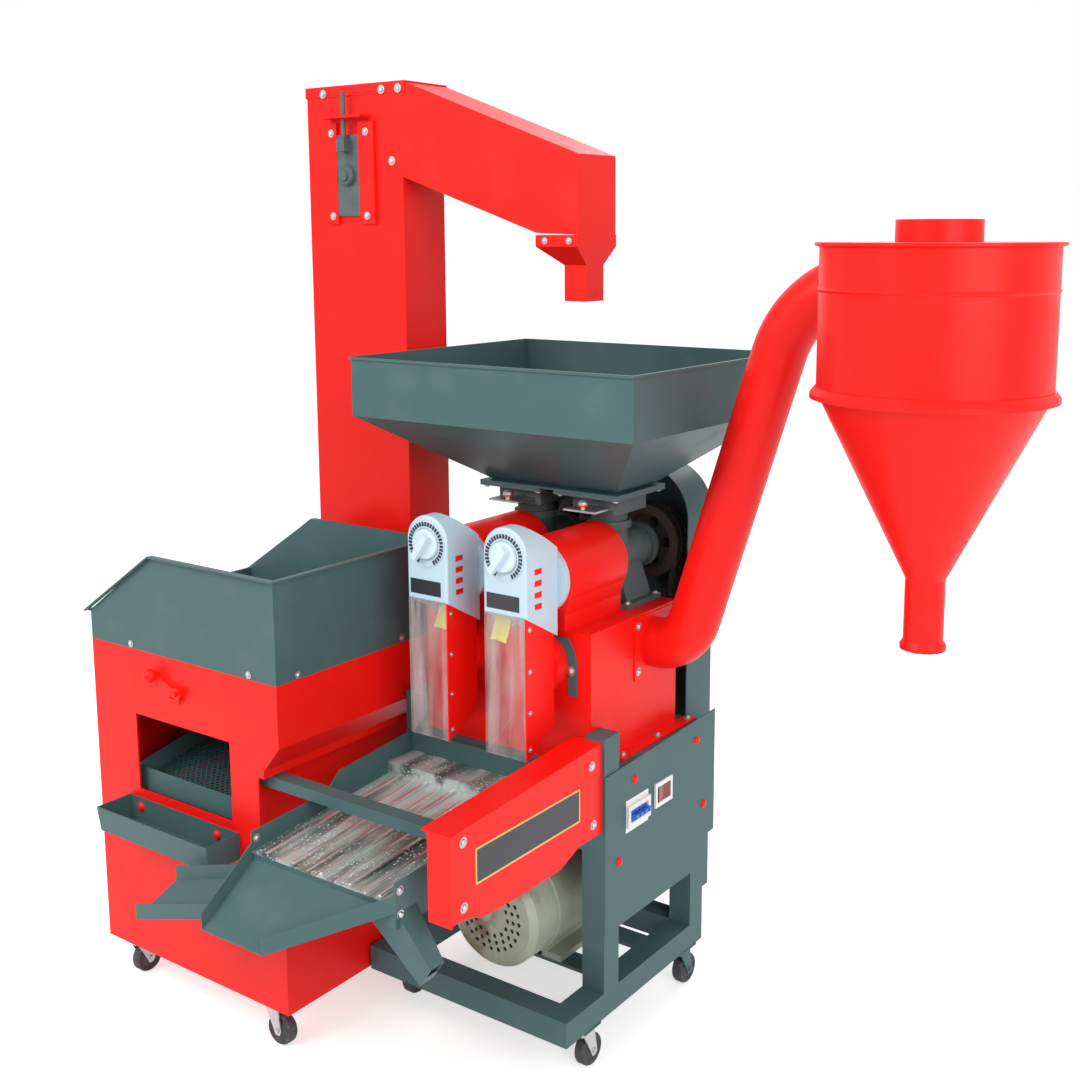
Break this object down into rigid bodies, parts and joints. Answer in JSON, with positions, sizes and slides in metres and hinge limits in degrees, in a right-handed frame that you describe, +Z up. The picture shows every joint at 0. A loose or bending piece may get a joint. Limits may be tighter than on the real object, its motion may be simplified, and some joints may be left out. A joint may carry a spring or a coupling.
{
  "type": "rice huller",
  "caption": "Rice huller: mills with dials and chutes over a shaking sieve, under a feed hopper, with motor and belts, bran cyclone, and a grain cleaner with bucket elevator.",
  "frame": {"origin": "on the floor, under the middle of the whole machine", "axes": "+Z is up, +X is to the right of somebody who stands in front, +Y is to the back"},
  "size_m": [1.439, 0.881, 1.502],
  "materials": {
    "grey_paint": "satin",
    "red_paint": "satin",
    "cast_paint": "rough",
    "motor_paint": "worn",
    "steel": "satin",
    "deck_steel": "galvanised",
    "head_plastic": "gloss",
    "dial_plastic": "gloss",
    "clear_plastic": "clear",
    "belt_rubber": "matte",
    "pulley_iron": "rough",
    "black_plastic": "matte",
    "blue_plastic": "gloss",
    "white_plastic": "gloss",
    "rocker_plastic": "gloss",
    "wheel_rubber": "matte"
  },
  "bodies": {
    "frame": {"mill_frame": "grey_paint", "side_panel": "grey_paint", "side_guard": "red_paint", "tie_bar": "grey_paint", "bran_box": "red_paint", "clamp_plate": "grey_paint", "bran_duct": "red_paint", "cyclone_drum": "red_paint", "cyclone_cone": "red_paint", "mill_hopper": "grey_paint", "belt_cover": "grey_paint", "drive_belts": "belt_rubber", "motor_body": "motor_paint", "motor_cowl": "motor_paint", "breaker_body": "white_plastic", "switch_body": "white_plastic", "cabinet_body": "red_paint", "cabinet_hopper": "grey_paint", "stone_tray": "grey_paint", "elevator_leg": "red_paint", "elevator_spout": "red_paint", "throat_right": "cast_paint", "shroud_right": "red_paint", "bearing_right": "cast_paint", "head_right": "head_plastic", "window_right": "clear_plastic", "channel_right": "red_paint", "throat_left": "cast_paint", "shroud_left": "red_paint", "bearing_left": "cast_paint", "head_left": "head_plastic", "window_left": "clear_plastic", "channel_left": "red_paint"},
    "dial_left": {"dial_left": "dial_plastic"},
    "gate_left": {"gate_left": "steel"},
    "rotor_left": {"rotor_left": "pulley_iron"},
    "dial_right": {"dial_right": "dial_plastic"},
    "gate_right": {"gate_right": "steel"},
    "rotor_right": {"rotor_right": "pulley_iron"},
    "motor_rotor": {"motor_pulley": "pulley_iron"},
    "breaker_toggle": {"breaker_toggle": "blue_plastic"},
    "power_rocker": {"power_rocker": "rocker_plastic"},
    "sieve": {"sieve_tray": "grey_paint", "sieve_deck": "deck_steel"},
    "screen": {"stoner_screen": "grey_paint"},
    "gate_lever": {"gate_lever": "red_paint"},
    "take_up": {"take_up": "cast_paint"},
    "fork_mill_right": {"fork_mill_right": "steel"},
    "wheel_mill_right": {"wheel_mill_right": "wheel_rubber"},
    "fork_mill_left": {"fork_mill_left": "steel"},
    "wheel_mill_left": {"wheel_mill_left": "wheel_rubber"},
    "fork_cabinet_right": {"fork_cabinet_right": "steel"},
    "wheel_cabinet_right": {"wheel_cabinet_right": "wheel_rubber"},
    "fork_cabinet_left": {"fork_cabinet_left": "steel"},
    "wheel_cabinet_left": {"wheel_cabinet_left": "wheel_rubber"},
    "wheel_mill_rear_right": {"wheel_mill_rear_right": "wheel_rubber"},
    "wheel_mill_rear_left": {"wheel_mill_rear_left": "wheel_rubber"},
    "wheel_cabinet_rear_right": {"wheel_cabinet_rear_right": "wheel_rubber"},
    "wheel_cabinet_rear_left": {"wheel_cabinet_rear_left": "wheel_rubber"}
  },
  "joints": [
    {"name": "dial_left_turn", "type": "hinge", "parent": "frame", "child": "dial_left", "pos_m": [-0.1475, -0.0655, 0.792], "axis": [0, 1, 0], "range_deg": [-20, 250]},
    {"name": "gate_left_slide", "type": "slide", "parent": "frame", "child": "gate_left", "axis": [0, -1, 0], "range_m": [0, 0.055]},
    {"name": "rotor_left_spin", "type": "hinge", "parent": "frame", "child": "rotor_left", "pos_m": [-0.1475, 0.3175, 0.745], "axis": [0, 1, 0], "continuous": true},
    {"name": "dial_right_turn", "type": "hinge", "parent": "frame", "child": "dial_right", "pos_m": [0.0005, -0.0655, 0.792], "axis": [0, 1, 0], "range_deg": [-20, 250]},
    {"name": "gate_right_slide", "type": "slide", "parent": "frame", "child": "gate_right", "axis": [0, -1, 0], "range_m": [0, 0.055]},
    {"name": "rotor_right_spin", "type": "hinge", "parent": "frame", "child": "rotor_right", "pos_m": [0.0005, 0.3175, 0.745], "axis": [0, 1, 0], "continuous": true},
    {"name": "motor_spin", "type": "hinge", "parent": "frame", "child": "motor_rotor", "pos_m": [-0.0635, 0.3175, 0.203], "axis": [0, 1, 0], "continuous": true},
    {"name": "breaker_tilt", "type": "hinge", "parent": "frame", "child": "breaker_toggle", "pos_m": [0.1175, 0.1025, 0.376], "axis": [0, 1, 0], "range_deg": [-25, 25]},
    {"name": "rocker_tilt", "type": "hinge", "parent": "frame", "child": "power_rocker", "pos_m": [0.1185, 0.177, 0.382], "axis": [0, 0, 1], "range_deg": [-9, 9]},
    {"name": "sieve_shake", "type": "slide", "parent": "frame", "child": "sieve", "axis": [0, 1, 0], "range_m": [-0.004, 0.004]},
    {"name": "screen_shake", "type": "slide", "parent": "frame", "child": "screen", "axis": [1, 0, 0], "range_m": [-0.004, 0.004]},
    {"name": "lever_turn", "type": "hinge", "parent": "frame", "child": "gate_lever", "pos_m": [-0.4935, -0.2625, 0.545], "axis": [0, 1, 0], "range_deg": [-20, 35]},
    {"name": "take_up_slide", "type": "slide", "parent": "frame", "child": "take_up", "axis": [0, 0, 1], "range_m": [-0.035, 0.025]},
    {"name": "swivel_mill_right", "type": "hinge", "parent": "frame", "child": "fork_mill_right", "pos_m": [0.1015, -0.0155, 0.07], "axis": [0, 0, 1], "continuous": true},
    {"name": "roll_mill_right", "type": "hinge", "parent": "fork_mill_right", "child": "wheel_mill_right", "pos_m": [0.1015, 0.0005, 0.025], "axis": [-1, 0, 0], "continuous": true},
    {"name": "swivel_mill_left", "type": "hinge", "parent": "frame", "child": "fork_mill_left", "pos_m": [-0.2485, -0.0155, 0.07], "axis": [0, 0, 1], "continuous": true},
    {"name": "roll_mill_left", "type": "hinge", "parent": "fork_mill_left", "child": "wheel_mill_left", "pos_m": [-0.2485, 0.0005, 0.025], "axis": [-1, 0, 0], "continuous": true},
    {"name": "swivel_cabinet_right", "type": "hinge", "parent": "frame", "child": "fork_cabinet_right", "pos_m": [-0.3355, -0.2305, 0.07], "axis": [0, 0, 1], "continuous": true},
    {"name": "roll_cabinet_right", "type": "hinge", "parent": "fork_cabinet_right", "child": "wheel_cabinet_right", "pos_m": [-0.3195, -0.2305, 0.025], "axis": [0, 1, 0], "continuous": true},
    {"name": "swivel_cabinet_left", "type": "hinge", "parent": "frame", "child": "fork_cabinet_left", "pos_m": [-0.6735, -0.2305, 0.07], "axis": [0, 0, 1], "continuous": true},
    {"name": "roll_cabinet_left", "type": "hinge", "parent": "fork_cabinet_left", "child": "wheel_cabinet_left", "pos_m": [-0.6735, -0.2145, 0.025], "axis": [-1, 0, 0], "continuous": true},
    {"name": "roll_mill_rear_right", "type": "hinge", "parent": "frame", "child": "wheel_mill_rear_right", "pos_m": [0.1015, 0.2865, 0.025], "axis": [-1, 0, 0], "continuous": true},
    {"name": "roll_mill_rear_left", "type": "hinge", "parent": "frame", "child": "wheel_mill_rear_left", "pos_m": [-0.2485, 0.2865, 0.025], "axis": [-1, 0, 0], "continuous": true},
    {"name": "roll_cabinet_rear_right", "type": "hinge", "parent": "frame", "child": "wheel_cabinet_rear_right", "pos_m": [-0.3355, 0.1375, 0.025], "axis": [-1, 0, 0], "continuous": true},
    {"name": "roll_cabinet_rear_left", "type": "hinge", "parent": "frame", "child": "wheel_cabinet_rear_left", "pos_m": [-0.6735, 0.1375, 0.025], "axis": [-1, 0, 0], "continuous": true}
  ],
  "couplings": [
    {"joint": "rotor_left_spin", "follows": "motor_spin", "ratio": 0.61404},
    {"joint": "rotor_right_spin", "follows": "motor_spin", "ratio": 0.61404}
  ]
}
